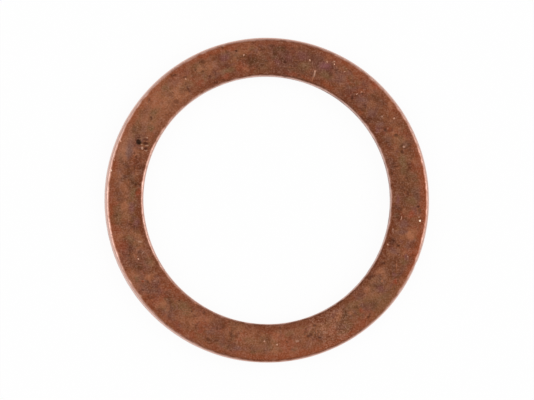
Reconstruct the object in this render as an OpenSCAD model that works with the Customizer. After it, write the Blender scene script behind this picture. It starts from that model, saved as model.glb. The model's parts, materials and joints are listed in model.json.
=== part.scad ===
// Flat copper sealing washer, blanked and pierced from soft strip in one stroke.
// The ring's axis is Z and its lower sealing face lies on Z = 0.

/* [Ring] */
// Bore diameter, across the burnished band of the pierced edge
bore_d = 24.3; // [6:0.1:60]
// Width of the ring's rim, from the bore out to the blanked edge
rim_w = 3.8; // [2:0.05:10]
// Thickness between the two sealing faces
thickness = 2; // [1.5:0.1:4]

/* [Sheared edges] */
// Radius that the die drew over the outer edge of the upper face
outer_roll = 0.4; // [0.1:0.05:0.8]
// Radius that the punch drew over the bore's edge of the upper face
bore_roll = 0.3; // [0.1:0.05:0.8]
// Radius left on both edges of the lower face once the burr was tumbled off
burr_break = 0.15; // [0.05:0.05:0.35]
// Height of the torn band's upper edge, where the burnished band ends
torn_band = 0.55; // [0.4:0.05:0.9]
// How far the torn band leans back into the metal towards the lower face
torn_lean = 0.05; // [0.01:0.01:0.2]

/* [Hidden] */
$fn = 180;
bore_r = bore_d / 2;
outer_r = bore_r + rim_w;
torn_outer_r = outer_r - torn_lean;
torn_bore_r = bore_r + torn_lean;

// What a true arc takes off a square corner whose metal lies on the inward side
module corner_waste(corner, inward, radius) {
    centre = corner + radius * inward;
    difference() {
        polygon([corner, [centre.x, corner.y], centre, [corner.x, centre.y]]);
        translate(centre) circle(r = radius);
    }
}

// The ring's section, with radius across and height up
module ring_section() {
    difference() {
        polygon([
            [torn_bore_r, 0],
            [torn_outer_r, 0],
            [torn_outer_r, burr_break],
            [outer_r, torn_band],
            [outer_r, thickness],
            [bore_r, thickness],
            [bore_r, torn_band],
            [torn_bore_r, burr_break],
        ]);
        corner_waste([outer_r, thickness], [-1, -1], outer_roll);
        corner_waste([bore_r, thickness], [1, -1], bore_roll);
        corner_waste([torn_outer_r, 0], [-1, 1], burr_break);
        corner_waste([torn_bore_r, 0], [1, 1], burr_break);
    }
}

module crush_washer() {
    color("#8a5039") rotate_extrude() ring_section();
}

crush_washer();
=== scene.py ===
"""The looks of a flat copper crush washer: rolled edges, small dents and a mottled film of oxide."""

import json
import logging
import math
import random
from collections.abc import Callable
from dataclasses import dataclass
from enum import Enum

import bmesh
import bpy
from mathutils import Matrix, Vector
from mathutils.kdtree import KDTree


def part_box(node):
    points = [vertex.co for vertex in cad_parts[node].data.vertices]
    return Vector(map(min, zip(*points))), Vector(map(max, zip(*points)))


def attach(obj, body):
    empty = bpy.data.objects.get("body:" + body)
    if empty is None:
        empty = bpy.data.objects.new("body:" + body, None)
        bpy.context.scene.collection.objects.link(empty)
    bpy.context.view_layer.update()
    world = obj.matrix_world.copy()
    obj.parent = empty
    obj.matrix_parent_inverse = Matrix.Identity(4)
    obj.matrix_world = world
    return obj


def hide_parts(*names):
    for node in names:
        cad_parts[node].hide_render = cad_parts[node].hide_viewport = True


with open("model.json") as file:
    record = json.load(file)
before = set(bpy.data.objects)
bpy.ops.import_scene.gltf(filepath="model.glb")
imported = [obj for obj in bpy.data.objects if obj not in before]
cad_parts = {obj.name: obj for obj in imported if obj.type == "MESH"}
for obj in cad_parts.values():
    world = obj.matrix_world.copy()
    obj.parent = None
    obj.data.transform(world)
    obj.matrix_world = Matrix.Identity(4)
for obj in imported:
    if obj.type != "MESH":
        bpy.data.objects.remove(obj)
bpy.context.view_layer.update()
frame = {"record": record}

LOG = logging.getLogger("crush_washer")
MM = 0.001
NODE = "crush_washer"
BODY = "root"

# The sockets of a Mix node: its two number inputs, its two colour inputs and its colour output
MIX_FROM, MIX_TO, MIX_UNDER, MIX_OVER, MIX_COLOUR = 2, 3, 6, 7, 2

Colour = tuple[float, float, float, float]
Piece = bpy.types.Object
Tree = bpy.types.NodeTree
Socket = bpy.types.NodeSocket
Feed = Socket | float | tuple[float, ...]


def linear(hex_colour: str) -> Colour:
    """Turns an sRGB hex colour into a linear one with full alpha.

    Args:
        hex_colour: Six hex digits after a hash sign.

    Returns:
        Red, green, blue and alpha.
    """
    channels = [int(hex_colour[i : i + 2], 16) / 255 for i in (1, 3, 5)]
    red, green, blue = (c / 12.92 if c <= 0.04045 else ((c + 0.055) / 1.055) ** 2.4 for c in channels)
    return red, green, blue, 1.0


def add(tree: Tree, kind: str, feeds: dict[int | str, Feed], **settings: object) -> bpy.types.Node:
    """Adds one node to a tree, with its settings and with what feeds its inputs.

    Args:
        tree: The tree that takes the node.
        kind: The node's type, without its ShaderNode prefix.
        feeds: For an input's name or number, the socket to link to it or the value to set.
        **settings: The node's own settings.

    Returns:
        The new node.
    """
    node = tree.nodes.new(f"ShaderNode{kind}")
    for name, value in settings.items():
        setattr(node, name, value)
    for key, feed in feeds.items():
        if isinstance(feed, Socket):
            tree.links.new(feed, node.inputs[key])
        else:
            node.inputs[key].default_value = feed
    return node


def calc(tree: Tree, operation: str, *values: Feed) -> Socket:
    """The number that an operation makes of some numbers."""
    return add(tree, "Math", dict(enumerate(values)), operation=operation).outputs[0]


def move(tree: Tree, operation: str, *values: Feed) -> Socket:
    """The place that an operation makes of some places."""
    return add(tree, "VectorMath", dict(enumerate(values)), operation=operation).outputs[0]


def measure(tree: Tree, operation: str, *values: Feed) -> Socket:
    """The number that an operation makes of some places."""
    return add(tree, "VectorMath", dict(enumerate(values)), operation=operation).outputs["Value"]


def blend(tree: Tree, share: Feed, under: Feed, over: Feed) -> Socket:
    """The colour that shows where a share of one colour lies over another."""
    feeds = {0: share, MIX_UNDER: under, MIX_OVER: over}
    return add(tree, "Mix", feeds, data_type="RGBA").outputs[MIX_COLOUR]


def ramp(
    tree: Tree,
    value: Feed,
    start: Feed = 0.0,
    end: Feed = 1.0,
    low: Feed = 0.0,
    high: Feed = 1.0,
    soft: bool = False,
) -> Socket:
    """A number led from start and end to low and high, held beyond them, with eased ends if soft."""
    feeds = {0: value, 1: start, 2: end, 3: low, 4: high}
    return add(tree, "MapRange", feeds, interpolation_type="SMOOTHSTEP" if soft else "LINEAR").outputs[0]


def noise(
    tree: Tree, where: Socket, size: float, detail: float, roughness: float = 0.5, distortion: float = 0.0
) -> Socket:
    """A number about one half that comes and goes from place to place, in lumps of one size."""
    feeds = {"Vector": where, "Scale": 1 / size, "Detail": detail, "Roughness": roughness}
    return add(tree, "TexNoise", feeds | {"Distortion": distortion}).outputs["Fac"]


class Pick(Enum):
    """What a selection in edit mode is made of."""

    VERTICES = "VERT"
    EDGES = "EDGE"
    FACES = "FACE"


def select(piece: Piece, pick: Pick, wanted: Callable[[list[Vector]], bool]) -> None:
    """Selects the parts of a piece in edit mode whose corners all lie in a wanted place.

    Args:
        piece: The piece that is being edited.
        pick: Whether vertices, edges or faces are selected.
        wanted: Tells from its corners whether one part is selected.
    """
    bpy.ops.mesh.select_mode(type=pick.value)
    bpy.ops.mesh.select_all(action="DESELECT")
    shape = bmesh.from_edit_mesh(piece.data)
    if pick is Pick.VERTICES:
        parts = [(vertex, [vertex.co]) for vertex in shape.verts]
    else:
        source = shape.edges if pick is Pick.EDGES else shape.faces
        parts = [(part, [vertex.co for vertex in part.verts]) for part in source]
    for part, corners in parts:
        if wanted(corners):
            part.select_set(True)
    bmesh.update_edit_mesh(piece.data)


class Tone(Enum):
    """The colours that the oxide film and the metal under it show, and two painted highlights for small
    glints.
    """

    BROWN = "#7d4a31"
    RED = "#88412a"
    ORANGE = "#854328"
    RUST = "#6c3721"
    OLIVE = "#725236"
    MAUVE = "#70473e"
    VIOLET = "#754741"
    SLATE = "#5f382b"
    MOSS = "#5a3823"
    UMBER = "#573020"
    SOOT = "#4c291d"
    BURNT = "#481e0c"
    PIT = "#2c1c15"
    DUSK = "#78564c"
    PLUM = "#7c4a4c"
    TAN = "#a5694a"
    PALE = "#b28873"
    # These two tones are painted highlights: the sparkles of small nicks, which are pressed in as dents
    GLINT = "#d9a68c"
    WHITE = "#f8dcc4"
    COPPER = "#c98c74"
    BARE = "#e7c0b3"

    @property
    def colour(self) -> Colour:
        """The tone as a linear colour with full alpha."""
        return linear(self.value)


@dataclass(frozen=True)
class Stain:
    """A patch of the upper face where the film has another tone, or a small glint painted as a highlight.

    Its place is an angle anticlockwise from +X and the distance out from the bore's wall. Its sizes
    are along X and Y, and a turn tilts them. Angles are in degrees and lengths in millimetres.
    """

    angle: float
    out: float
    wide: float
    high: float
    tone: Tone
    strength: float
    turn: float = 0.0

    @property
    def size(self) -> float:
        """The patch's mean size across."""
        return (self.wide + self.high) / 2


def table(*rows: tuple[float | str, ...]) -> tuple[Stain, ...]:
    """The stains of a table's rows, which have a stain's fields in order and its tone by name."""
    return tuple(Stain(*row[:4], Tone[row[4]], *row[5:]) for row in rows)


# Soft patches, most of the broad ones first. A later one lies over an earlier one.
STAINS = table(
    (75, 1.9, 7, 5, "SLATE", 0.54),
    (40, 1.6, 7, 9, "UMBER", 0.26),
    (8, 1.5, 2.6, 10, "MOSS", 0.44),
    (138, 1.9, 8, 8, "TAN", 0.34),
    (283, 1.9, 9, 5, "TAN", 0.15),
    (92, 1.6, 3.6, 2, "UMBER", 0.34),
    (62.4, 0.5, 1.6, 0.6, "ORANGE", 0.85, -28),
    (73.8, 0.45, 2.4, 0.55, "ORANGE", 0.65, -16),
    (80, 0.45, 1.6, 0.5, "RED", 0.55, -10),
    (160, 2.75, 1.2, 5, "PALE", 0.17, -20),
    (174, 2.75, 1, 2.6, "TAN", 0.26, -6),
    (213, 2.75, 1.4, 2.6, "PALE", 0.14, 33),
    (232, 0.85, 1, 2.4, "RUST", 0.3, 52),
    (265, 0.85, 2.8, 1, "RUST", 0.36),
    (293, 0.85, 2.6, 1, "RUST", 0.4, 23),
    (333, 1.75, 1.4, 4.4, "UMBER", 0.25, -27),
    (84, 0.8, 2.2, 1.6, "UMBER", 0.5),
    (84, 1.9, 3.6, 2.2, "SLATE", 0.3),
    (83.5, 1.6, 1, 0.7, "UMBER", 0.6),
    (81.5, 1.95, 1, 0.6, "VIOLET", 0.6),
    (77, 2.6, 1.2, 0.6, "VIOLET", 0.6),
    (85, 2.4, 1.4, 1, "SLATE", 0.5),
    (87, 3.05, 1.5, 0.7, "RUST", 0.45),
    (-22.8, 2.95, 1, 1, "UMBER", 0.5),
    (18.3, 0.45, 0.8, 0.8, "UMBER", 0.5),
    (-40, 3.25, 7, 1.3, "OLIVE", 0.55, 50),
    (-93, 2.3, 1.4, 0.9, "TAN", 0.35),
    (-40, 1.7, 4.8, 2.6, "OLIVE", 0.32, 50),
    (150, 0.35, 0.9, 1.3, "UMBER", 0.35),
    (170.7, 1.42, 0.7, 0.9, "MOSS", 0.6),
    (-149, 1.17, 0.9, 0.9, "UMBER", 0.3),
    (54, 0.7, 1.8, 1.8, "UMBER", 0.4),
    (166, 0.7, 1.2, 2.6, "UMBER", 0.4),
    (-26, 1.6, 2.2, 2.4, "UMBER", 0.4),
    (-66, 1.7, 2.6, 1.4, "TAN", 0.45),
    (-97, 1.7, 2.6, 1.2, "TAN", 0.22),
    (-176, 1.8, 1.2, 2.4, "TAN", 0.35),
    (160, 3, 1.4, 3.2, "TAN", 0.35),
    (-150, 3, 1.6, 2.6, "TAN", 0.3),
    (-136, 0.55, 4.5, 1.1, "ORANGE", 0.65, -46),
    (-115, 0.9, 1.6, 1.2, "TAN", 0.3),
    (125, 3, 2.4, 1.6, "ORANGE", 0.45),
    (36, 3, 1.8, 2.4, "ORANGE", 0.4),
    (-42, 3, 2, 2, "OLIVE", 0.2),
    (118.6, 2.77, 1.76, 0.88, "OLIVE", 0.4, 20),
    (106.8, 2.41, 1.08, 0.88, "VIOLET", 0.95, 20),
    (103.7, 2.06, 0.59, 0.78, "TAN", 0.25),
    (107.4, 1.09, 1.47, 0.78, "OLIVE", 0.95, 15),
    (108.8, 0.56, 0.88, 0.49, "RED", 0.83, 20),
    (96, 1.56, 1.37, 1.18, "MOSS", 0.95),
    (87.3, 2.03, 0.69, 1.08, "MOSS", 0.95),
    (85.9, 1.37, 0.59, 0.78, "VIOLET", 0.83),
    (85.3, 2.69, 1.37, 0.59, "MOSS", 0.95),
    (88.5, 2.97, 0.59, 0.39, "UMBER", 0.83),
    (83.8, 1.66, 0.59, 0.59, "UMBER", 0.89),
    (79.1, 1.17, 0.59, 0.39, "SLATE", 0.89),
    (76.3, 2.25, 1.08, 0.59, "VIOLET", 0.76),
    (74.5, 1.52, 1.47, 0.88, "OLIVE", 0.83, -10),
    (66.9, 2.19, 1.2, 0.9, "PLUM", 0.95),
    (61.7, 2.17, 0.78, 0.88, "SLATE", 0.95),
    (69.9, 1.88, 0.39, 0.49, "SLATE", 0.89),
    (64.6, 1.36, 1.47, 0.78, "OLIVE", 0.83, -25),
    (66.6, 3.19, 0.7, 0.55, "TAN", 0.45),
    (59, 1.84, 0.88, 1.37, "MAUVE", 0.76, 20),
    (47.2, 2.83, 1.08, 0.69, "TAN", 0.3, -35),
    (46.8, 3.28, 1.08, 0.49, "RED", 0.95, -40),
    (46.3, 1.35, 1.57, 1.18, "MAUVE", 0.95, -30),
    (43.6, 1.17, 0.49, 0.59, "SLATE", 0.95),
    (38.1, 3.15, 0.59, 0.78, "TAN", 0.45, 20),
    (43.7, 0.31, 0.78, 0.49, "ORANGE", 0.83, -45),
    (38.2, 0.57, 0.69, 0.49, "UMBER", 0.95, -40),
    (39.3, 1.18, 0.78, 0.78, "MAUVE", 0.68),
    (33.5, 1.1, 0.78, 0.78, "MAUVE", 0.83),
    (29.5, 2.45, 0.69, 0.59, "TAN", 0.4),
    (32.5, 0.67, 0.59, 0.59, "VIOLET", 0.95),
    (30.9, 1.27, 0.69, 0.49, "SLATE", 0.95),
    (16.2, 1.67, 0.88, 2.15, "OLIVE", 0.89, 12),
    (15.3, 0.59, 0.69, 0.78, "UMBER", 0.95),
    (0.1, 1.86, 1.18, 0.78, "OLIVE", 0.68),
    (-0.1, 0.62, 0.49, 1.08, "VIOLET", 0.95),
    (-3.2, 0.56, 0.69, 0.49, "SLATE", 0.95),
    (-5.5, 2.09, 0.88, 0.88, "RED", 0.95),
    (-10.1, 1.4, 1.18, 0.98, "MAUVE", 0.95),
    (-6.5, 0.66, 0.49, 0.59, "MOSS", 0.95),
    (-13.2, 1.48, 1.27, 0.59, "MAUVE", 0.83),
    (-13.5, 2.43, 0.88, 1.47, "TAN", 0.83, -10),
    (-17.3, 2.86, 0.88, 0.59, "RUST", 0.8),
    (-18.4, 0.78, 0.88, 0.78, "SOOT", 0.83),
    (-21.6, 1.14, 0.98, 0.78, "MAUVE", 0.76),
    (-24.3, 2.57, 0.88, 0.69, "OLIVE", 0.76),
    (-22.5, 2.55, 0.39, 0.69, "VIOLET", 0.95),
    (-32.6, 0.87, 0.88, 0.69, "TAN", 0.68, 30),
    (-36.6, 0.47, 0.69, 0.59, "SOOT", 0.76, 40),
    (-32.4, 2.77, 0.59, 0.59, "RED", 0.95),
    (-30.6, 2.26, 0.49, 0.39, "VIOLET", 0.83),
    (-38.3, 1.53, 1.27, 0.78, "MOSS", 0.89, 20),
    (-38.4, 1.88, 0.88, 0.78, "VIOLET", 0.83),
    (-42.5, 1.71, 1.37, 0.98, "TAN", 0.25, 30),
    (-49.6, 2.1, 0.78, 0.59, "RED", 0.83, 30),
    (-55.9, 1.37, 0.78, 1.08, "MOSS", 0.95),
    (-59.3, 1.25, 0.88, 0.88, "TAN", 0.62),
    (-48.2, 1.56, 0.69, 0.49, "MAUVE", 0.62),
    (-48.9, 2.95, 0.39, 0.59, "UMBER", 0.89),
    (-69.8, 1.77, 1.57, 1.08, "MOSS", 0.48, 15),
    (-89.4, 1.43, 0.59, 1.08, "RUST", 0.5),
    (-80.4, 2.8, 0.59, 0.39, "MOSS", 0.62),
    (-104.7, 2.75, 0.78, 0.49, "MOSS", 0.62, -15),
    (-101.7, 2.7, 0.69, 0.49, "MAUVE", 0.68),
    (-109.8, 2.1, 1.2, 0.9, "BROWN", 0.6),
    (-110.6, 1.47, 0.98, 0.88, "RED", 0.35),
    (-128.7, 1.07, 1.66, 0.98, "OLIVE", 0.83, -35),
    (-134.8, 2.38, 0.98, 0.88, "TAN", 0.48),
    (-140.1, 1.92, 1.27, 0.88, "MAUVE", 0.4, -40),
    (-142.5, 1.46, 0.59, 0.59, "SLATE", 0.5),
    (-147.1, 1.89, 0.78, 0.59, "TAN", 0.55),
    (-148.7, 2.87, 0.49, 0.49, "OLIVE", 0.83),
    (-146.8, 2.52, 0.39, 0.39, "RED", 0.95),
    (-134.6, 1.64, 0.44, 1.47, "UMBER", 0.6, -8),
    (-152.7, 2.03, 0.78, 0.59, "MOSS", 0.55),
    (-152.3, 1, 0.98, 0.78, "OLIVE", 0.62),
    (-162, 2.81, 1.18, 1.47, "RED", 0.68),
    (-164.7, 1.94, 0.88, 0.49, "OLIVE", 0.62),
    (-170, 0.89, 0.59, 0.88, "VIOLET", 0.95),
    (-172.5, 1.14, 0.59, 0.49, "SLATE", 0.95),
    (-172.5, 2.77, 1.08, 1.27, "OLIVE", 0.62),
    (-177.7, 1.93, 0.78, 0.88, "TAN", 0.62),
    (-176.2, 1.21, 0.59, 1.18, "VIOLET", 0.95),
    (177.7, 1.12, 0.78, 1.47, "OLIVE", 0.95),
    (172.6, 1.05, 0.69, 0.88, "MOSS", 0.95, 35),
    (175.1, 1.97, 0.98, 1.18, "TAN", 0.55),
    (171.3, 1.93, 0.88, 0.39, "SLATE", 0.95),
    (167, 1.96, 0.78, 1.37, "MOSS", 0.35),
    (162.4, 2.19, 0.59, 0.98, "MAUVE", 0.95),
    (160.8, 2.22, 0.9, 1.7, "DUSK", 0.9, -15),
    (167.3, 3.16, 0.69, 1.47, "ORANGE", 0.83, -15),
    (165.9, 0.68, 0.69, 0.69, "UMBER", 0.76),
    (176.7, 0.51, 0.39, 0.59, "RED", 0.95),
    (174.1, 0.49, 0.39, 0.49, "UMBER", 0.95),
    (152.3, 2.56, 0.49, 0.88, "MOSS", 0.65, -25),
    (148.6, 1.27, 0.59, 0.69, "OLIVE", 0.83),
    (142, 1.9, 1.27, 0.88, "OLIVE", 0.76, 30),
    (140.1, 3.02, 0.34, 0.69, "UMBER", 0.6),
    (130.8, 1.57, 0.88, 0.78, "TAN", 0.68),
    (132.5, 2.65, 0.88, 0.78, "OLIVE", 0.62),
    (120.2, 1.07, 0.88, 0.69, "RED", 0.62, 20),
    (127.2, 3.17, 0.59, 0.49, "UMBER", 0.83),
    (147.2, 2.18, 1.18, 0.88, "TAN", 0.42, 45),
    (112.7, 2.05, 1.37, 0.98, "TAN", 0.3, 15),
    (125.4, 2.22, 1.37, 0.98, "TAN", 0.3, 25),
)

# Crisp marks: the pit, its bars and their pale edges, then dark spots, then glints, which are painted
# highlights on small pressed nicks, and pale scratches
MARKS = table(
    (156, 1.69, 0.63, 0.57, "PIT", 0.95),
    (155.4, 1.03, 0.63, 0.33, "SOOT", 0.95),
    (157.4, 0.8, 0.45, 0.31, "SOOT", 0.9),
    (153.9, 1.18, 0.59, 0.27, "SLATE", 0.9),
    (154.5, 1.89, 0.45, 0.2, "SOOT", 0.55, 10),
    (152.9, 1.13, 0.27, 0.14, "PALE", 0.75),
    (156, 0.81, 0.43, 0.13, "PALE", 0.6),
    (157.8, 1.15, 0.23, 0.31, "PALE", 0.9),
    (158.2, 0.71, 0.39, 0.14, "PALE", 0.6),
    (155, 0.68, 0.14, 0.69, "OLIVE", 0.7),
    (156.6, 1.35, 0.24, 0.13, "PALE", 0.6),
    (155, 1.4, 0.22, 0.39, "MAUVE", 0.8),
    (145.1, 1.79, 0.3, 0.42, "SOOT", 0.65, 30),
    (133.1, 0.98, 0.65, 0.5, "UMBER", 0.55),
    (115.2, 2.75, 0.6, 0.34, "UMBER", 0.6),
    (116.5, 2.86, 0.2, 0.15, "SOOT", 0.65),
    (116.9, 1.93, 0.29, 0.16, "SOOT", 0.45),
    (119.2, 2.4, 0.29, 0.2, "SOOT", 0.6),
    (125.8, 1.18, 0.22, 0.75, "SOOT", 0.55, 30),
    (115.2, 1.17, 0.29, 0.44, "UMBER", 0.65),
    (114, 0.42, 0.59, 0.29, "SOOT", 0.6, 25),
    (102, 2.78, 0.24, 0.24, "SOOT", 0.85),
    (93.7, 0.73, 0.22, 0.18, "SOOT", 0.7),
    (116.7, 1.99, 0.29, 0.2, "UMBER", 0.55),
    (82.9, 1.48, 0.35, 0.35, "SOOT", 0.9),
    (84.1, 1.77, 0.24, 0.24, "SOOT", 0.6),
    (87.6, 2.37, 0.18, 0.18, "SOOT", 0.6),
    (86.3, 2.81, 0.22, 0.16, "SOOT", 0.55),
    (50.3, 0.85, 0.27, 0.49, "SOOT", 0.7),
    (48.3, 1.89, 0.25, 0.2, "SOOT", 0.75),
    (26.9, 2, 0.49, 0.33, "SOOT", 0.7),
    (31, 1.33, 0.29, 0.33, "SOOT", 0.7),
    (19.8, 1.92, 0.33, 0.39, "SOOT", 0.75),
    (22.1, 2.09, 0.22, 0.29, "MOSS", 0.8),
    (14.3, 2.13, 0.49, 0.18, "SOOT", 0.6, -30),
    (13, 2.19, 0.41, 0.22, "SOOT", 0.65, 15),
    (12.2, 0.34, 0.27, 0.39, "UMBER", 0.75),
    (9, 1.67, 0.39, 0.25, "SOOT", 0.65),
    (5.4, 1.18, 0.39, 0.2, "SOOT", 0.6, 40),
    (6.1, 1.39, 0.35, 0.16, "SOOT", 0.5, -40),
    (3, 1.67, 0.27, 0.49, "SOOT", 0.65, 15),
    (4.1, 1.35, 0.34, 0.16, "SOOT", 0.5, 25),
    (-2.4, 2.69, 0.37, 0.27, "SOOT", 0.9),
    (-3.8, 2.84, 0.39, 0.39, "MOSS", 0.6),
    (-19.2, 1.46, 0.29, 0.27, "SOOT", 0.85),
    (-17.6, 0.78, 0.31, 0.31, "SOOT", 0.7),
    (-28.5, 0.84, 0.39, 0.24, "SOOT", 0.75, -20),
    (-34.9, 3.06, 0.2, 0.2, "SOOT", 0.6),
    (-69.5, 0.98, 0.39, 0.25, "SOOT", 0.65, -15),
    (-73.4, 1.79, 0.39, 0.27, "SOOT", 0.7),
    (-69.2, 2.27, 0.39, 0.27, "SOOT", 0.6),
    (-60.9, 1.03, 0.2, 0.2, "SOOT", 0.65),
    (-73.6, 1.05, 0.2, 0.2, "SOOT", 0.6),
    (-113.3, 2.71, 0.39, 0.39, "UMBER", 0.8),
    (-110.7, 1.31, 0.39, 0.27, "UMBER", 0.4),
    (-105.4, 1.5, 0.29, 0.25, "UMBER", 0.4),
    (-124.2, 1.1, 0.2, 0.25, "SOOT", 0.75),
    (-131.3, 0.99, 0.22, 0.22, "SOOT", 0.75),
    (-144.1, 2.95, 0.29, 0.2, "SOOT", 0.75),
    (-145.7, 2.11, 0.29, 0.29, "SOOT", 0.6),
    (-143, 1.26, 0.2, 0.29, "SOOT", 0.55),
    (-142, 1.68, 0.33, 0.18, "SOOT", 0.55),
    (-169.7, 1.49, 0.39, 0.2, "SOOT", 0.65, -25),
    (-168.5, 1.21, 0.2, 0.39, "SOOT", 0.65),
    (-157.9, 1.44, 0.39, 0.35, "SOOT", 0.55),
    (-158.1, 2.52, 0.29, 0.25, "SOOT", 0.5),
    (173.6, 0.87, 0.33, 0.22, "SOOT", 0.6, -30),
    (162.1, 1.37, 0.2, 0.39, "SOOT", 0.5),
    (166.2, 1.3, 0.2, 0.22, "SOOT", 0.5),
    (169.9, 0.87, 0.24, 0.18, "SOOT", 0.45),
    (73.2, 2.2, 0.17, 0.2, "GLINT", 0.8),
    (69.6, 1.04, 0.15, 0.68, "PALE", 0.85, -14),
    (69.5, 0.5, 0.1, 0.62, "TAN", 0.65, -14),
    (69.8, 1.31, 0.17, 0.22, "GLINT", 0.55),
    (66.7, 2.63, 0.15, 0.13, "GLINT", 0.55),
    (64.3, 2.93, 0.22, 0.15, "PALE", 0.8),
    (63.8, 2.71, 0.13, 0.18, "GLINT", 1),
    (59, 2.59, 0.17, 0.12, "GLINT", 0.6),
    (49.9, 1.51, 0.22, 0.12, "GLINT", 0.75, 15),
    (49.1, 1.95, 0.17, 0.12, "GLINT", 0.6),
    (36.1, 1.78, 0.18, 0.18, "PALE", 0.8),
    (32.9, 2.7, 0.18, 0.15, "GLINT", 0.8),
    (21.4, 2.29, 0.25, 0.2, "PALE", 0.95),
    (-7.6, 1.13, 0.1, 0.45, "GLINT", 0.65, -6),
    (-7.6, 3, 0.17, 0.19, "WHITE", 1),
    (-6.3, 2.83, 0.16, 0.14, "PALE", 0.65),
    (-20.3, 0.45, 0.15, 0.18, "GLINT", 0.65),
    (-13.6, 0.55, 0.12, 0.59, "PALE", 0.55, 8),
    (-21.9, 2.69, 0.16, 0.16, "PALE", 0.75),
    (-27, 2.07, 0.1, 1.08, "TAN", 0.55),
    (-35.2, 1.61, 0.24, 0.25, "TAN", 0.7),
    (-86.3, 2.05, 0.16, 0.16, "GLINT", 0.8),
    (-91.3, 1.71, 0.2, 0.15, "GLINT", 0.6),
    (-78.1, 2, 0.39, 0.2, "PALE", 0.6),
    (-155.3, 1.81, 0.16, 0.19, "GLINT", 0.95),
    (-156.4, 1.74, 0.14, 0.14, "PALE", 0.6),
    (-161.7, 1.03, 0.49, 0.16, "PALE", 0.55, -12),
    (-157, 1.14, 0.15, 0.53, "PALE", 0.55, -35),
    (-144.3, 1.49, 0.25, 0.18, "PALE", 0.45),
    (124.2, 2.15, 0.17, 0.17, "GLINT", 0.6),
    (99.4, 2.24, 0.18, 0.17, "GLINT", 0.75),
    (172.7, 0.23, 0.17, 0.2, "WHITE", 0.9),
    (169.6, 3.48, 0.18, 0.27, "WHITE", 0.85, -20),
    (158.4, 3.38, 0.18, 0.28, "GLINT", 0.8, 30),
    (165.7, 3.38, 0.15, 0.18, "GLINT", 0.6),
    (-142.8, 3.56, 0.29, 0.44, "PALE", 0.7, -35),
    (-69.6, 1.55, 0.09, 0.49, "TAN", 0.6, 5),
    (-69, 1.91, 0.09, 0.49, "TAN", 0.6, -5),
    (-71.3, 1.82, 0.09, 0.44, "TAN", 0.55),
)

# The middle of a patch of the upper face whose grain is stronger, in millimetres
PEPPERED = (6.2, -12.6, 2.0)

# How deep a mark of each tone is pressed into the metal, as a share of its size
DENT_DEPTHS = {Tone.PIT: 0.22, Tone.SOOT: 0.12, Tone.GLINT: 0.12, Tone.WHITE: 0.15}


@dataclass(frozen=True)
class Dent:
    """A place where the metal is pressed in, with lengths in metres."""

    spot: Vector
    reach: float
    depth: float


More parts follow.
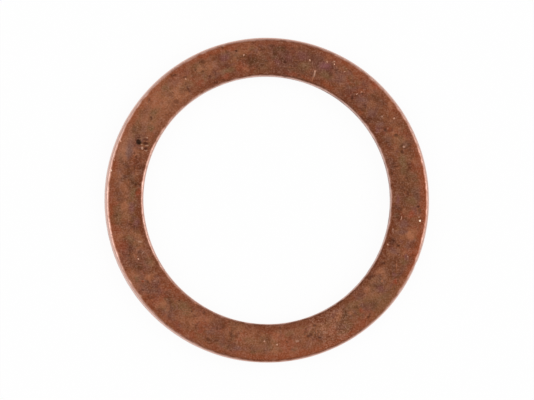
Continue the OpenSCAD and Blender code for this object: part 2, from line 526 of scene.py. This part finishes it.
@dataclass
class CrushWasher:
    """The ring, with the section that blanking leaves: rolled edges, a burnished wall and a torn band.

    Lengths are in metres and a nick's reach in millimetres. The other values of dents and nicks are
    multiples of their own size. The mesh is finest on the upper face, where the dents are.
    """

    outer_radius: float
    bore_radius: float
    thickness: float
    outer_roll: float = 0.40 * MM
    bore_roll: float = 0.30 * MM
    burr_break: float = 0.15 * MM
    torn_band: float = 0.55 * MM
    torn_lean: float = 0.05 * MM
    face_cell: float = 0.10 * MM
    wall_cell: float = 0.20 * MM
    roll_steps: int = 9
    break_steps: int = 4
    sectors: int = 8
    sector_steps: int = 100
    ripple_size: float = 3.2 * MM
    ripple_height: float = 0.024 * MM
    grain_size: float = 0.45 * MM
    grain_height: float = 0.008 * MM
    dent_reach: float = 0.75
    deep_dent: float = 0.06 * MM
    fine_patch: float = 1.5
    lip_reach: float = 1.9
    lip_height: float = 0.2
    nick_count: int = 70
    nick_reach: tuple[float, float] = (0.15, 0.40)
    nick_depth: tuple[float, float] = (0.04, 0.16)
    seed: int = 26

    @property
    def middle(self) -> float:
        """The radius half way across the rim."""
        return (self.bore_radius + self.outer_radius) / 2

    @property
    def touching(self) -> float:
        """How close two points are that count as one."""
        return self.face_cell / 100

    def place(self, angle: float, out: float) -> Vector:
        """Finds a point on the upper face.

        Args:
            angle: Degrees anticlockwise from +X.
            out: Millimetres out from the bore's wall.

        Returns:
            The point, in metres.
        """
        radius = self.bore_radius + out * MM
        turn = math.radians(angle)
        return Vector((radius * math.cos(turn), radius * math.sin(turn), self.thickness))

    def build(self) -> Piece:
        """Models the ring from its section.

        Returns:
            The finished piece.
        """
        piece = self._blank_section()
        self._round_corners(piece)
        self._divide_runs(piece)
        self._turn_ring()
        bpy.ops.object.mode_set(mode="OBJECT")
        self._displace(piece, "soft ripple", self.ripple_size, self.ripple_height)
        self._displace(piece, "tumbled grain", self.grain_size, self.grain_height)
        self._dent(piece)
        bpy.ops.object.shade_smooth()
        return piece

    def _blank_section(self) -> Piece:
        """Adds the plain rectangle of the rim's section, standing on the XZ plane.

        Returns:
            The new piece, in edit mode.
        """
        centre = (self.middle, 0, self.thickness / 2)
        bpy.ops.object.select_all(action="DESELECT")
        bpy.ops.mesh.primitive_plane_add(size=1, location=centre, rotation=(math.pi / 2, 0, 0))
        piece = bpy.context.object
        piece.name = piece.data.name = "copper_ring"
        bpy.ops.object.transform_apply(location=True, rotation=True, scale=True)
        bpy.ops.object.mode_set(mode="EDIT")
        rim = self.outer_radius - self.bore_radius
        bpy.ops.mesh.select_all(action="SELECT")
        bpy.ops.transform.resize(value=(rim, 1, self.thickness), center_override=centre)
        return piece

    def _round_corners(self, piece: Piece) -> None:
        """Rounds the four corners, then leans the torn band back below the burnished wall.

        Args:
            piece: The section, in edit mode.
        """
        near = 10 * self.touching
        corners = (
            (self.outer_radius, self.thickness, self.outer_roll, self.roll_steps),
            (self.bore_radius, self.thickness, self.bore_roll, self.roll_steps),
            (self.outer_radius, 0, self.burr_break, self.break_steps),
            (self.bore_radius, 0, self.burr_break, self.break_steps),
        )
        for x, z, radius, steps in corners:
            corner = Vector((x, 0, z))
            select(piece, Pick.VERTICES, lambda at: (at[0] - corner).length < near)
            bpy.ops.mesh.bevel(affect="VERTICES", offset_type="OFFSET", offset=radius, segments=steps)
        bpy.ops.mesh.select_all(action="SELECT")
        bpy.ops.mesh.delete(type="ONLY_FACE")
        bpy.ops.mesh.select_all(action="SELECT")
        cut = (0, 0, self.torn_band)
        bpy.ops.mesh.bisect(plane_co=cut, plane_no=(0, 0, 1), threshold=self.touching)
        below = self.torn_band - near
        for side in (-1, 1):
            select(piece, Pick.VERTICES, lambda at: at[0].z < below and (at[0].x - self.middle) * side > 0)
            bpy.ops.transform.translate(value=(-side * self.torn_lean, 0, 0))

    def _divide_runs(self, piece: Piece) -> None:
        """Divides the straight runs of the section into cells.

        Args:
            piece: The section, in edit mode.
        """
        flat_top = self.thickness - self.touching
        runs = (
            (self.face_cell, lambda at: at[0].z > flat_top and at[1].z > flat_top),
            (self.wall_cell, lambda at: at[0].z < self.touching and at[1].z < self.touching),
            (self.wall_cell, lambda at: abs(at[0].z - at[1].z) > 2 * self.burr_break),
        )
        for cell, wanted in runs:
            for side in (-1, 1):
                select(
                    piece,
                    Pick.EDGES,
                    lambda at: wanted(at) and (at[0].x + at[1].x - 2 * self.middle) * side >= 0,
                )
                shape = bmesh.from_edit_mesh(piece.data)
                longest = max((edge.calc_length() for edge in shape.edges if edge.select), default=0)
                cuts = round(longest / cell) - 1
                if cuts > 0:
                    bpy.ops.mesh.subdivide(number_cuts=cuts)

    def _turn_ring(self) -> None:
        """Spins the section through one sector, copies the sector round and closes the seams."""
        about = {"center": (0, 0, 0), "axis": (0, 0, 1)}
        sector = math.tau / self.sectors
        copies = self.sectors - 1
        bpy.ops.mesh.select_all(action="SELECT")
        bpy.ops.mesh.spin(steps=self.sector_steps, angle=sector, **about)
        bpy.ops.mesh.select_all(action="SELECT")
        bpy.ops.mesh.spin(steps=copies, dupli=True, angle=copies * sector, **about)
        bpy.ops.mesh.select_all(action="SELECT")
        bpy.ops.mesh.remove_doubles(threshold=self.touching)
        bpy.ops.mesh.normals_make_consistent(inside=False)

    def _displace(self, piece: Piece, name: str, size: float, height: float) -> None:
        """Takes the ring a little out of true, as soft strip is after blanking and tumbling.

        Args:
            piece: The ring.
            name: What the unevenness is called.
            size: How far apart its hollows are.
            height: How deep they go; nothing rises.
        """
        texture = bpy.data.textures.new(name, "CLOUDS")
        texture.noise_scale = size
        bpy.ops.object.modifier_add(type="DISPLACE")
        uneven = piece.modifiers[-1]
        uneven.texture = texture
        uneven.texture_coords = "LOCAL"
        uneven.strength = height
        uneven.mid_level = 1.0
        bpy.ops.object.modifier_apply(modifier=uneven.name)

    def _dents(self) -> list[Dent]:
        """Finds the dents of the upper face, one for each mark that has a depth.

        Returns:
            The dents, in the order of the marks.
        """
        dents = []
        for mark in MARKS:
            if mark.tone in DENT_DEPTHS:
                spot = self.place(mark.angle, mark.out)
                depth = DENT_DEPTHS[mark.tone] * mark.strength * mark.size * MM
                dents.append(Dent(spot, self.dent_reach * mark.size * MM, depth))
        return dents

    def _dent(self, piece: Piece) -> None:
        """Presses the dents of the upper face and the small nicks all over.

        Args:
            piece: The ring.
        """
        bpy.ops.object.mode_set(mode="EDIT")
        dents = self._dents()
        deep = [dent for dent in dents if dent.depth > self.deep_dent]
        select(
            piece,
            Pick.FACES,
            lambda at: any((at[0] - dent.spot).length < self.fine_patch * dent.reach for dent in deep),
        )
        bpy.ops.mesh.subdivide(number_cuts=1, ngon=False)
        bpy.ops.mesh.select_mode(type="VERT")
        shape = bmesh.from_edit_mesh(piece.data)
        finder = KDTree(len(shape.verts))
        for index, vertex in enumerate(shape.verts):
            finder.insert(vertex.co, index)
        finder.balance()
        for dent in dents:
            index = finder.find(dent.spot)[1]
            if dent.depth > self.deep_dent:
                self._press(piece, index, self.lip_reach * dent.reach, -self.lip_height * dent.depth)
            self._press(piece, index, dent.reach, dent.depth)
        draw = random.Random(self.seed)
        for _ in range(self.nick_count):
            index = draw.randrange(len(shape.verts))
            reach = draw.uniform(*self.nick_reach) * MM
            self._press(piece, index, reach, reach * draw.uniform(*self.nick_depth))
        bpy.ops.mesh.select_all(action="DESELECT")
        bpy.ops.object.mode_set(mode="OBJECT")

    def _press(self, piece: Piece, index: int, reach: float, depth: float) -> None:
        """Pushes the metal in round one vertex, against the way that the surface faces there.

        Args:
            piece: The ring, in edit mode.
            index: The vertex at the middle of the dent.
            reach: How far from it the metal moves.
            depth: How far it goes in; below zero it is raised.
        """
        bpy.ops.mesh.select_all(action="DESELECT")
        shape = bmesh.from_edit_mesh(piece.data)
        shape.verts.ensure_lookup_table()
        vertex = shape.verts[index]
        vertex.select_set(True)
        bpy.ops.transform.translate(
            value=-depth * vertex.normal,
            use_proportional_edit=True,
            proportional_edit_falloff="SMOOTH",
            proportional_size=reach,
        )


@dataclass(frozen=True)
class Cloud:
    """One tone of the film that comes and goes over the whole ring in soft patches."""

    tone: Tone
    size: float
    low: float
    high: float
    strength: float
    shift: float


@dataclass(frozen=True)
class Lie:
    """The material's tree and its sockets that tell where on the ring a point lies, in millimetres."""

    tree: Tree
    place: Socket
    wandering: Socket
    frayed: Socket
    radius: Socket
    height: Socket
    arc: Socket


@dataclass(frozen=True)
class TarnishedCopper:
    """Annealed copper strip that was blanked, tumbled and left to tarnish in the air.

    The film of oxide is brown with red, olive and mauve patches and dulls the metal. Tumbling has rubbed it
    off the rolled edges, where the copper is pink and shines; how far it is rubbed off by side is painted
    sheen and shade. Lengths are in millimetres.
    """

    ring: CrushWasher
    clouds: tuple[Cloud, ...] = (
        Cloud(Tone.RED, 2.8, 0.50, 0.60, 0.60, 3.1),
        Cloud(Tone.OLIVE, 2.3, 0.50, 0.60, 0.60, 11.7),
        Cloud(Tone.MAUVE, 2.0, 0.51, 0.62, 0.60, 27.3),
        Cloud(Tone.TAN, 1.5, 0.50, 0.63, 0.45, 41.9),
        Cloud(Tone.VIOLET, 1.0, 0.56, 0.70, 0.55, 58.2),
        Cloud(Tone.UMBER, 1.4, 0.50, 0.62, 0.50, 88.6),
        Cloud(Tone.SOOT, 0.7, 0.55, 0.70, 0.50, 73.4),
    )
    arc_radius: float = 14.0
    margin_ragged: float = 1.2
    stain_depth: float = 8.0
    soft_edge: float = 0.9
    crisp_edge: float = 0.5
    scratch_length: float = 1.6
    scratch_width: float = 0.10
    scratch_share: float = 0.45
    rub_ragged: float = 0.26
    streak_width: float = 0.12
    streak_length: float = 1.6
    roll_fade: float = 0.25
    torn_ragged: float = 0.35
    torn_fade: float = 0.05
    face_roughness: float = 0.45
    rubbed_roughness: float = 0.30
    torn_roughness: float = 0.60

    def material(self) -> bpy.types.Material:
        """Makes the material.

        Returns:
            The material.
        """
        # Gives the eye dull brown copper, mottled and pitted, with a pink shine along its rolled edges
        material = bpy.data.materials.new("tarnished_copper")
        material.use_nodes = True
        tree = material.node_tree
        tree.nodes.clear()
        lie = self._lie(tree)
        film = self._film(lie)
        film = self._margins(lie, film)
        film = self._stains(lie, film, STAINS, ragged=True)
        film, grain = self._grain(lie, film)
        film = self._specks(lie, film)
        film, lines = self._scratches(lie, film)
        film = self._stains(lie, film, MARKS, ragged=False)
        rubbed_and_lit = self._rubbed_and_lit(lie)
        left, streaks = self._streaks(lie)
        rubbed_and_lit = calc(tree, "MULTIPLY", rubbed_and_lit, left)
        # Thinned film and bare copper where the film is rubbed off; their spread by side is painted sheen
        # and shade
        thin = blend(tree, rubbed_and_lit, film, Tone.COPPER.colour)
        bare = blend(tree, calc(tree, "MULTIPLY", rubbed_and_lit, rubbed_and_lit), thin, Tone.BARE.colour)
        torn, torn_tone = self._torn(lie)
        colour = blend(tree, torn, bare, torn_tone)
        rough = ramp(tree, rubbed_and_lit, low=self.face_roughness, high=self.rubbed_roughness)
        rough = add(tree, "Mix", {0: torn, MIX_FROM: rough, MIX_TO: self.torn_roughness}).outputs[0]
        relief = calc(tree, "ADD", calc(tree, "ADD", grain, lines), streaks)
        bump = add(tree, "Bump", {"Height": relief, "Strength": 0.5, "Distance": 0.02 * MM}).outputs[0]
        feeds = {"Base Color": colour, "Metallic": 1.0, "Roughness": rough, "Normal": bump}
        shader = add(tree, "BsdfPrincipled", feeds)
        add(tree, "OutputMaterial", {"Surface": shader.outputs[0]})
        return material

    def _lie(self, tree: Tree) -> Lie:
        """Finds where a point lies: its place, that place wandering a little, its radius, height and arc.

        Args:
            tree: The material's tree.

        Returns:
            The sockets that tell it.
        """
        metres = add(tree, "TexCoord", {}).outputs["Object"]
        place = add(tree, "VectorMath", {0: metres, "Scale": 1 / MM}, operation="SCALE").outputs[0]
        wandering = self._wander(tree, place, place, size=0.6, reach=0.8)
        frayed = self._wander(tree, place, wandering, size=0.22, reach=0.22)
        split = add(tree, "SeparateXYZ", {0: place}).outputs
        flat = add(tree, "CombineXYZ", {0: split[0], 1: split[1]}).outputs[0]
        radius = measure(tree, "LENGTH", flat)
        turn = calc(tree, "ARCTAN2", split[1], split[0])
        arc = calc(tree, "MULTIPLY", turn, self.arc_radius)
        return Lie(tree, place, wandering, frayed, radius, split[2], arc)

    def _wander(self, tree: Tree, place: Socket, through: Socket, size: float, reach: float) -> Socket:
        """Lets a place wander a little, so that what is drawn there gets an uneven outline.

        Args:
            tree: The material's tree.
            place: The place.
            through: Where the noise that moves it is read.
            size: How far apart the turns of the outline are.
            reach: How far it wanders.

        Returns:
            The wandering place.
        """
        feeds = {"Vector": through, "Scale": 1 / size, "Detail": 3.0}
        drift = add(tree, "TexNoise", feeds).outputs["Color"]
        centred = move(tree, "SUBTRACT", drift, (0.5, 0.5, 0.5))
        return move(tree, "MULTIPLY_ADD", centred, (reach, reach, 0.0), place)

    def _film(self, lie: Lie) -> Socket:
        """Lays the clouds over the plain brown of the film.

        Args:
            lie: Where a point lies.

        Returns:
            The film's colour.
        """
        tree = lie.tree
        film: Feed = Tone.BROWN.colour
        for cloud in self.clouds:
            feeds = {"Vector": lie.place, "Location": (cloud.shift, 0, cloud.shift)}
            place = add(tree, "Mapping", feeds).outputs[0]
            lumps = noise(tree, place, cloud.size, detail=4.0, roughness=0.58, distortion=0.4)
            share = ramp(tree, lumps, cloud.low, cloud.high, high=cloud.strength, soft=True)
            film = blend(tree, share, film, cloud.tone.colour)
        return film

    def _margins(self, lie: Lie, film: Socket) -> Socket:
        """Reddens the film along both edges of the faces, where handling keeps it thin.

        Args:
            lie: Where a point lies.
            film: The film's colour so far.

        Returns:
            The film's colour with its margins.
        """
        tree = lie.tree
        wander = noise(tree, lie.place, size=0.9, detail=4.0)
        ragged = calc(tree, "MULTIPLY_ADD", wander, self.margin_ragged, lie.radius)
        spell = noise(tree, lie.place, size=5.0, detail=1.0)
        most = ramp(tree, spell, start=0.35, end=0.6, low=0.35, high=0.9)
        outer = self.ring.outer_radius / MM
        bore = self.ring.bore_radius / MM
        margins = ((outer - 0.50, outer, Tone.ORANGE), (bore + 1.65, bore + 1.05, Tone.RUST))
        for start, full, tone in margins:
            share = ramp(tree, ragged, start, full, high=most, soft=True)
            film = blend(tree, share, film, tone.colour)
        return film

    def _stains(self, lie: Lie, film: Socket, stains: tuple[Stain, ...], ragged: bool) -> Socket:
        """Lays stains on the upper face, and among the marks the glints, which are painted highlights.

        Args:
            lie: Where a point lies.
            film: The film's colour so far.
            stains: The stains, in the order in which they cover each other.
            ragged: Whether their edges are ragged and soft, and not crisp.

        Returns:
            The film's colour with the stains.
        """
        tree = lie.tree
        where = lie.wandering if ragged else lie.frayed
        edge = self.soft_edge if ragged else self.crisp_edge
        stained = film
        top = ramp(tree, lie.height, start=1.0, end=1.6)
        for stain in stains:
            spot = self.ring.place(stain.angle, stain.out) / MM
            turned = where
            if stain.turn:
                feeds = {"Vector": where, "Center": tuple(spot), "Angle": math.radians(-stain.turn)}
                turned = add(tree, "VectorRotate", feeds, rotation_type="Z_AXIS").outputs[0]
            scale = Vector((2 / stain.wide, 2 / stain.high, 2 / self.stain_depth))
            local = move(tree, "MULTIPLY_ADD", turned, tuple(scale), tuple(-spot * scale))
            off = measure(tree, "LENGTH", local)
            share = ramp(tree, off, 1.0 + edge / 2, 1.0 - edge, high=stain.strength, soft=True)
            stained = blend(tree, share, stained, stain.tone.colour)
        return blend(tree, top, film, stained)

    def _grain(self, lie: Lie, film: Socket) -> tuple[Socket, Socket]:
        """Breaks the film into light and dark grain, drawn coarser than the real one, which is too fine.

        Args:
            lie: Where a point lies.
            film: The film's colour so far.

        Returns:
            The film's colour with the grain, and the height of the finest grain.
        """
        tree = lie.tree
        far_off = measure(tree, "DISTANCE", lie.wandering, PEPPERED)
        pepper = ramp(tree, far_off, start=2.6, end=1.2, low=1.0, high=1.8)
        for size, strength in ((0.45, 0.20), (0.14, 0.40)):
            grain = noise(tree, lie.place, size, detail=2.0, roughness=0.6)
            for tone, end in ((Tone.PALE, 0.78), (Tone.BURNT, 0.22)):
                most = calc(tree, "MULTIPLY", pepper, strength)
                share = ramp(tree, grain, start=0.5, end=end, high=most)
                film = blend(tree, share, film, tone.colour)
        return film, grain

    def _specks(self, lie: Lie, film: Socket) -> Socket:
        """Sprinkles dark and light specks, a few tenths of a millimetre across.

        Args:
            lie: Where a point lies.
            film: The film's colour so far.

        Returns:
            The film's colour with the specks.
        """
        tree = lie.tree
        for size, reach, tone, strength in ((0.62, 0.34, Tone.UMBER, 0.60), (0.75, 0.20, Tone.TAN, 0.60)):
            cells = add(tree, "TexVoronoi", {"Vector": lie.wandering, "Scale": 1 / size})
            lot = add(tree, "SeparateColor", {0: cells.outputs["Color"]}).outputs
            wide = ramp(tree, lot[0], start=0.45, high=reach)
            near = calc(tree, "SUBTRACT", wide, cells.outputs["Distance"])
            share = ramp(tree, near, end=0.14, high=strength, soft=True)
            film = blend(tree, share, film, tone.colour)
        return film

    def _scratches(self, lie: Lie, film: Socket) -> tuple[Socket, Socket]:
        """Draws fine scratches at several angles. Real ones are finer and wouldn't show at this size.

        Args:
            lie: Where a point lies.
            film: The film's colour so far.

        Returns:
            The film's colour with the scratches, and their height.
        """
        tree = lie.tree
        height: Feed = 0.0
        stretch = (1 / self.scratch_length, 1 / self.scratch_width, 1 / self.scratch_length)
        for turn, shift in ((17, 5.0), (64, 19.0), (112, 33.0), (151, 47.0)):
            tilt = (0, 0, math.radians(turn))
            feeds = {"Vector": lie.place, "Location": (shift, shift, 0), "Rotation": tilt, "Scale": stretch}
            along = add(tree, "Mapping", feeds).outputs[0]
            lumps = noise(tree, along, size=1.0, detail=1.0)
            line = ramp(tree, lumps, start=0.68, end=0.78, soft=True)
            share = calc(tree, "MULTIPLY", line, self.scratch_share)
            film = blend(tree, share, film, Tone.TAN.colour)
            height = calc(tree, "SUBTRACT", height, line)
        return film, height

    def _rubbed_and_lit(self, lie: Lie) -> Socket:
        """Finds how far the film is rubbed off the rolled edges and the walls. Its spread by side is
        painted sheen and
        shade: further towards ±X, the sides that face the side lamps, and less towards ±Y, which are left
        darker.

        Args:
            lie: Where a point lies.

        Returns:
            The share that is rubbed off, spread by side as painted sheen and shade.
        """
        tree = lie.tree
        wander = noise(tree, lie.place, size=0.7, detail=5.0)
        across = add(tree, "SeparateXYZ", {0: lie.place}).outputs[0]
        # How much a point faces ±X, towards the side lamps, where more film is rubbed off as painted sheen
        facing_side_lamps = calc(tree, "DIVIDE", across, lie.radius)
        facing_side_lamps = calc(tree, "MULTIPLY", facing_side_lamps, facing_side_lamps)
        most = ramp(tree, facing_side_lamps, end=0.6, low=0.80, high=0.95)
        outer = (self.ring.outer_radius - self.ring.outer_roll) / MM
        bore = (self.ring.bore_radius + self.ring.bore_roll) / MM
        # Each edge's radius, its way out, how late rubbing starts towards ±Y and towards ±X, and how much
        # later towards +X and +Y. This spread by side is painted sheen and shade.
        edges = (
            (outer, 1.0, 0.019, -0.086, (0.015, -0.040, 0.0)),
            (bore, -1.0, 0.019, -0.036, (0.090, 0.0, 0.0)),
        )
        shares = []
        for edge, outward, start_front_and_back, start_at_lit_sides, side in edges:
            late = ramp(tree, facing_side_lamps, low=start_front_and_back, high=start_at_lit_sides)
            late = calc(tree, "MULTIPLY_ADD", wander, self.rub_ragged, late)
            later = measure(tree, "DOT_PRODUCT", lie.place, tuple(Vector(side) / edge))
            start = calc(tree, "ADD", late, later)
            past = calc(tree, "SUBTRACT", lie.radius, edge)
            past = calc(tree, "MULTIPLY", past, outward)
            past = calc(tree, "SUBTRACT", past, start)
            shares.append(ramp(tree, past, start=-0.08, end=0.19, high=most, soft=True))
        return calc(tree, "MAXIMUM", *shares)

    def _streaks(self, lie: Lie) -> tuple[Socket, Socket]:
        """Draws the fine upright streaks that the punch leaves on the walls, where some film stays.

        Args:
            lie: Where a point lies.

        Returns:
            How much of the rubbing is left, and the streaks' height.
        """
        tree = lie.tree
        wall_top = (self.ring.thickness - self.ring.bore_roll) / MM
        on_wall = ramp(tree, lie.height, wall_top, wall_top - self.roll_fade)
        fine = calc(tree, "MULTIPLY", lie.arc, 1 / self.streak_width)
        tall = calc(tree, "MULTIPLY", lie.height, 1 / self.streak_length)
        across = add(tree, "CombineXYZ", {0: fine, 1: tall}).outputs[0]
        streak = noise(tree, across, size=1.0, detail=2.0)
        patch = noise(tree, lie.place, size=1.3, detail=3.0)
        stays = ramp(tree, streak, start=0.40, end=0.75, high=0.55)
        stays = ramp(tree, patch, start=0.45, end=0.7, low=stays, high=0.75)
        stays = calc(tree, "MULTIPLY", stays, on_wall)
        left = calc(tree, "SUBTRACT", 1.0, stays)
        height = calc(tree, "MULTIPLY", streak, on_wall)
        return left, height

    def _torn(self, lie: Lie) -> tuple[Socket, Socket]:
        """Finds the torn band low on both walls, a dull red with lighter grains and a ragged upper edge.

        Args:
            lie: Where a point lies.

        Returns:
            The share of the torn band's look that shows, and its colour.
        """
        tree = lie.tree
        across = add(tree, "CombineXYZ", {0: lie.arc, 1: lie.height}).outputs[0]
        wander = noise(tree, across, size=0.5, detail=4.0)
        ragged = calc(tree, "MULTIPLY_ADD", wander, self.torn_ragged, lie.height)
        # About half of the ragged edge's height is added, so that its mean is at the top of the band
        edge = self.ring.torn_band / MM + 0.17
        share = ramp(tree, ragged, edge + self.torn_fade, edge - self.torn_fade, high=0.8)
        grain = noise(tree, lie.place, size=0.2, detail=3.0)
        lighter = ramp(tree, grain, start=0.42, end=0.68)
        return share, blend(tree, lighter, Tone.RED.colour, Tone.PALE.colour)


@dataclass(frozen=True)
class SoftBox:
    """A lamp behind white cloth, with lengths in metres and its power in watts."""

    name: str
    place: tuple[float, float, float]
    size: tuple[float, float]
    power: float


@dataclass
class Studio:
    """A white floor, three soft boxes, the room's light and a camera that looks almost straight down."""

    target: Vector
    boxes: tuple[SoftBox, ...] = (
        SoftBox("overhead_soft_box", (0.0, 0.0, 0.75), (1.00, 0.90), 1.25),
        SoftBox("left_soft_box", (-0.30, -0.02, 0.30), (0.30, 0.30), 0.29),
        SoftBox("right_soft_box", (0.30, 0.02, 0.30), (0.30, 0.30), 0.38),
    )
    distance: float = 0.42
    tilt: float = 5.0
    tilt_from: float = 208.0
    view_width: float = 52.30 * MM
    aim: tuple[float, float] = (-0.075 * MM, -0.02 * MM)
    floor_size: float = 4.0
    floor_seen: float = 0.94
    floor_mirrored: float = 0.65
    room_light: float = 0.46
    tent_light: float = 0.35

    def build(self) -> None:
        """Sets the floor, the lamps, the room's light and the camera."""
        self._floor()
        for box in self.boxes:
            self._lamp(box)
        self._room()
        self._camera()
        bpy.context.scene.view_settings.view_transform = "Standard"

    def _floor(self) -> None:
        """Lays the white floor, which shows white and still takes the object's shadow."""
        bpy.ops.object.select_all(action="DESELECT")
        bpy.ops.mesh.primitive_plane_add(size=self.floor_size)
        floor = bpy.context.object
        floor.name = "floor"
        # Gives the eye plain white card that takes a faint shadow and mirrors softly in the metal
        material = bpy.data.materials.new("white_card")
        material.use_nodes = True
        tree = material.node_tree
        tree.nodes.clear()
        path = add(tree, "LightPath", {}).outputs
        mirrored = calc(tree, "MULTIPLY", path["Is Glossy Ray"], self.floor_mirrored)
        seen = calc(tree, "MULTIPLY", path["Is Camera Ray"], self.floor_seen)
        share = calc(tree, "MAXIMUM", seen, mirrored)
        card = add(tree, "BsdfDiffuse", {"Color": linear("#f4f4f4")}).outputs[0]
        glow = add(tree, "Emission", {"Strength": 1.0}).outputs[0]
        mixed = add(tree, "MixShader", {0: share, 1: card, 2: glow}).outputs[0]
        add(tree, "OutputMaterial", {"Surface": mixed})
        floor.data.materials.append(material)

    def _lamp(self, box: SoftBox) -> None:
        """Hangs one soft box, turned to the target.

        Args:
            box: The soft box.
        """
        lamp = bpy.data.lights.new(box.name, "AREA")
        lamp.shape = "RECTANGLE"
        lamp.size, lamp.size_y = box.size
        lamp.energy = box.power
        hung = bpy.data.objects.new(box.name, lamp)
        hung.location = box.place
        hung.rotation_euler = (Vector(box.place) - self.target).to_track_quat("Z", "Y").to_euler()
        bpy.context.scene.collection.objects.link(hung)

    def _room(self) -> None:
        """Fills the room with soft light, stronger from above as in a tent, and white to the camera."""
        world = bpy.data.worlds.new("room")
        world.use_nodes = True
        tree = world.node_tree
        tree.nodes.clear()
        way = add(tree, "TexCoord", {}).outputs["Generated"]
        height = add(tree, "SeparateXYZ", {0: way}).outputs[2]
        tent = self.room_light + self.tent_light
        fill = ramp(tree, height, end=0.5, low=self.room_light, high=tent, soft=True)
        seen = add(tree, "LightPath", {}).outputs["Is Camera Ray"]
        strength = add(tree, "Mix", {0: seen, MIX_FROM: fill, MIX_TO: 1.0}).outputs[0]
        sky = add(tree, "Background", {"Strength": strength})
        add(tree, "OutputWorld", {"Surface": sky.outputs[0]})
        bpy.context.scene.world = world

    def _camera(self) -> None:
        """Places the camera, with the picture's upper edge towards +Y."""
        lean, turn = math.radians(self.tilt), math.radians(self.tilt_from)
        side = math.sin(lean)
        back = Vector((side * math.cos(turn), side * math.sin(turn), math.cos(lean)))
        right = Vector((0, 1, 0)).cross(back).normalized()
        up = back.cross(right)
        lens = bpy.data.cameras.new("camera")
        lens.lens = lens.sensor_width * self.distance / self.view_width
        lens.clip_start = 0.01
        camera = bpy.data.objects.new("camera", lens)
        turned = Matrix((right, up, back)).transposed().to_4x4()
        centre = self.target + right * self.aim[0] + up * self.aim[1]
        camera.matrix_world = Matrix.Translation(centre + back * self.distance) @ turned
        bpy.context.scene.collection.objects.link(camera)
        bpy.context.scene.camera = camera


def main() -> None:
    """Builds the ring and the studio round it."""
    logging.basicConfig(level=logging.INFO)
    low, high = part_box(NODE)
    bore = next(mount for mount in frame["record"]["mounts"] if mount["name"] == "bore")
    ring = CrushWasher(
        outer_radius=(high.x - low.x) / 2,
        bore_radius=bore["dims"]["r_mm"] * MM,
        thickness=high.z - low.z,
    )
    piece = ring.build()
    piece.data.materials.append(TarnishedCopper(ring).material())
    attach(piece, BODY)
    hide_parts(NODE)
    LOG.info("%s: %d vertices", piece.name, len(piece.data.vertices))
    Studio(target=Vector((0, 0, high.z))).build()
    LOG.info("studio built")


if __name__ == "__main__":
    main()
